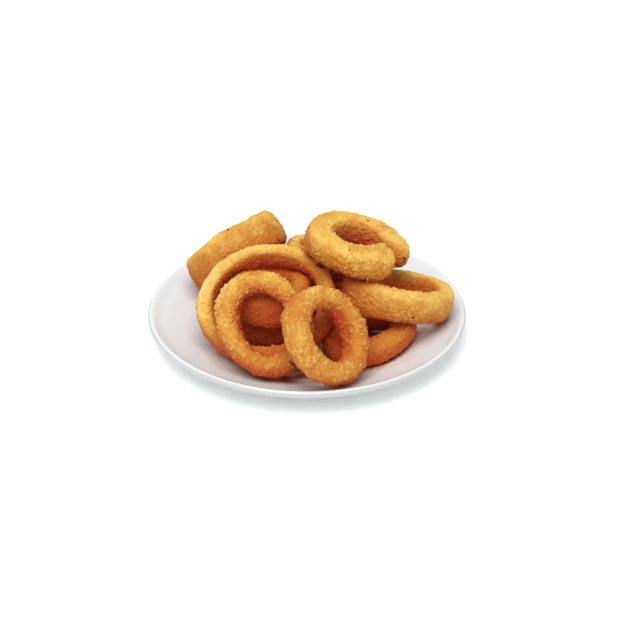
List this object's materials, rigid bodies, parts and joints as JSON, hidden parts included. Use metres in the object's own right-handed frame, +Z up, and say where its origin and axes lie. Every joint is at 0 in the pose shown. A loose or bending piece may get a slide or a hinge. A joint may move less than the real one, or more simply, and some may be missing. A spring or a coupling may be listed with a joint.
{
  "type": "onion rings side",
  "caption": "Heap of golden breaded onion rings of mixed sizes, one torn, on a small round white coupe plate.",
  "frame": {"origin": "middle of the plate's foot ring, on the table", "axes": "+Z up out of the plate, -Y toward the side that the plate is served from and seen from, +X to that viewer's right"},
  "size_m": [0.1998, 0.1998, 0.0807],
  "materials": {
    "porcelain": "smooth white glaze",
    "crust": "dry golden fried breading, rough with fine crumbs"
  },
  "bodies": {
    "root": {"plate": "porcelain", "ring_under_left": "crust", "ring_under_right": "crust", "ring_under_back": "crust", "ring_inner": "crust", "ring_back": "crust", "ring_right": "crust", "ring_large": "crust", "ring_left": "crust", "ring_top": "crust", "ring_front_left": "crust", "ring_front": "crust"}
  },
  "joints": []
}
